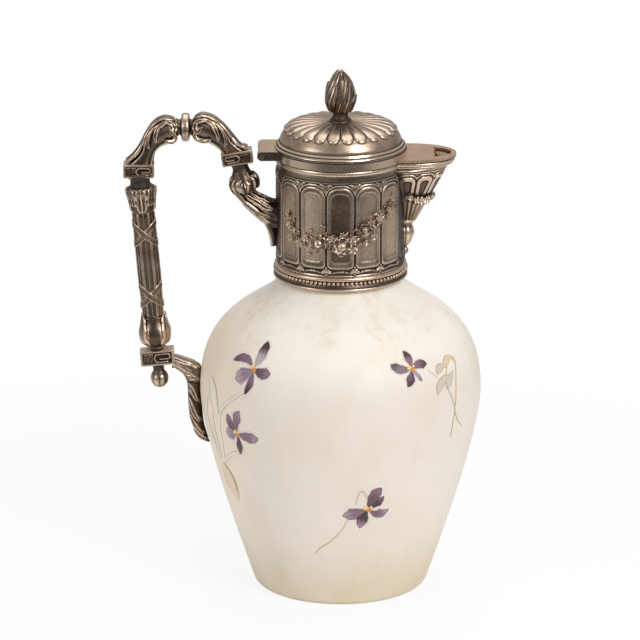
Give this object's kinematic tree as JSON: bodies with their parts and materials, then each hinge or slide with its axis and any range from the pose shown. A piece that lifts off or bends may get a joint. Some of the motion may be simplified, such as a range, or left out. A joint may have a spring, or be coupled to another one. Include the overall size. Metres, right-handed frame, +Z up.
{
  "type": "claret jug",
  "caption": "Frosted glass claret jug in a silver mount with a panelled collar, V-shaped spout, hinged domed lid with a flame finial, and a cast scroll handle.",
  "frame": {"origin": "middle of the glass foot, on the surface the jug stands on", "axes": "+Z up along the body, +X towards the spout, -X towards the handle, hinge pin along Y"},
  "size_m": [0.1676, 0.1326, 0.25],
  "materials": {
    "frosted_glass": "acid-frosted, warm white",
    "plaster": "matte",
    "old_silver": "worn silver with dark oxide in the recesses",
    "rod_metal": "turned, dull"
  },
  "bodies": {
    "root": {"glass_foot": "frosted_glass", "glass_body": "frosted_glass", "glass_neck": "frosted_glass", "neck_plaster": "plaster", "collar_wall": "old_silver", "collar_foot": "old_silver", "collar_rim": "old_silver", "spout_body": "old_silver", "spout_drop": "old_silver", "hinge_tongue": "old_silver", "upper_arm": "old_silver", "inner_key_block": "old_silver", "inner_arch": "old_silver", "arch_spool": "old_silver", "outer_arch": "old_silver", "outer_key_block": "old_silver", "grip_capital": "old_silver", "grip_shaft": "old_silver", "grip_bulb": "old_silver", "lower_key_block": "old_silver", "rod_nut": "old_silver", "lower_arm": "old_silver", "hinge_pin": "rod_metal", "tie_rod": "rod_metal"},
    "lid": {"lid_dome": "old_silver", "lid_rim": "old_silver", "lid_bezel": "old_silver", "lid_leaf": "old_silver", "spout_cover": "old_silver", "finial_stem": "old_silver", "finial_flame": "old_silver", "finial_nut": "old_silver"}
  },
  "joints": [
    {"name": "lid_hinge", "type": "hinge", "parent": "root", "child": "lid", "pos_m": [-0.0366, 0, 0.2112], "axis": [0, -1, 0], "range_deg": [0, 90]}
  ]
}
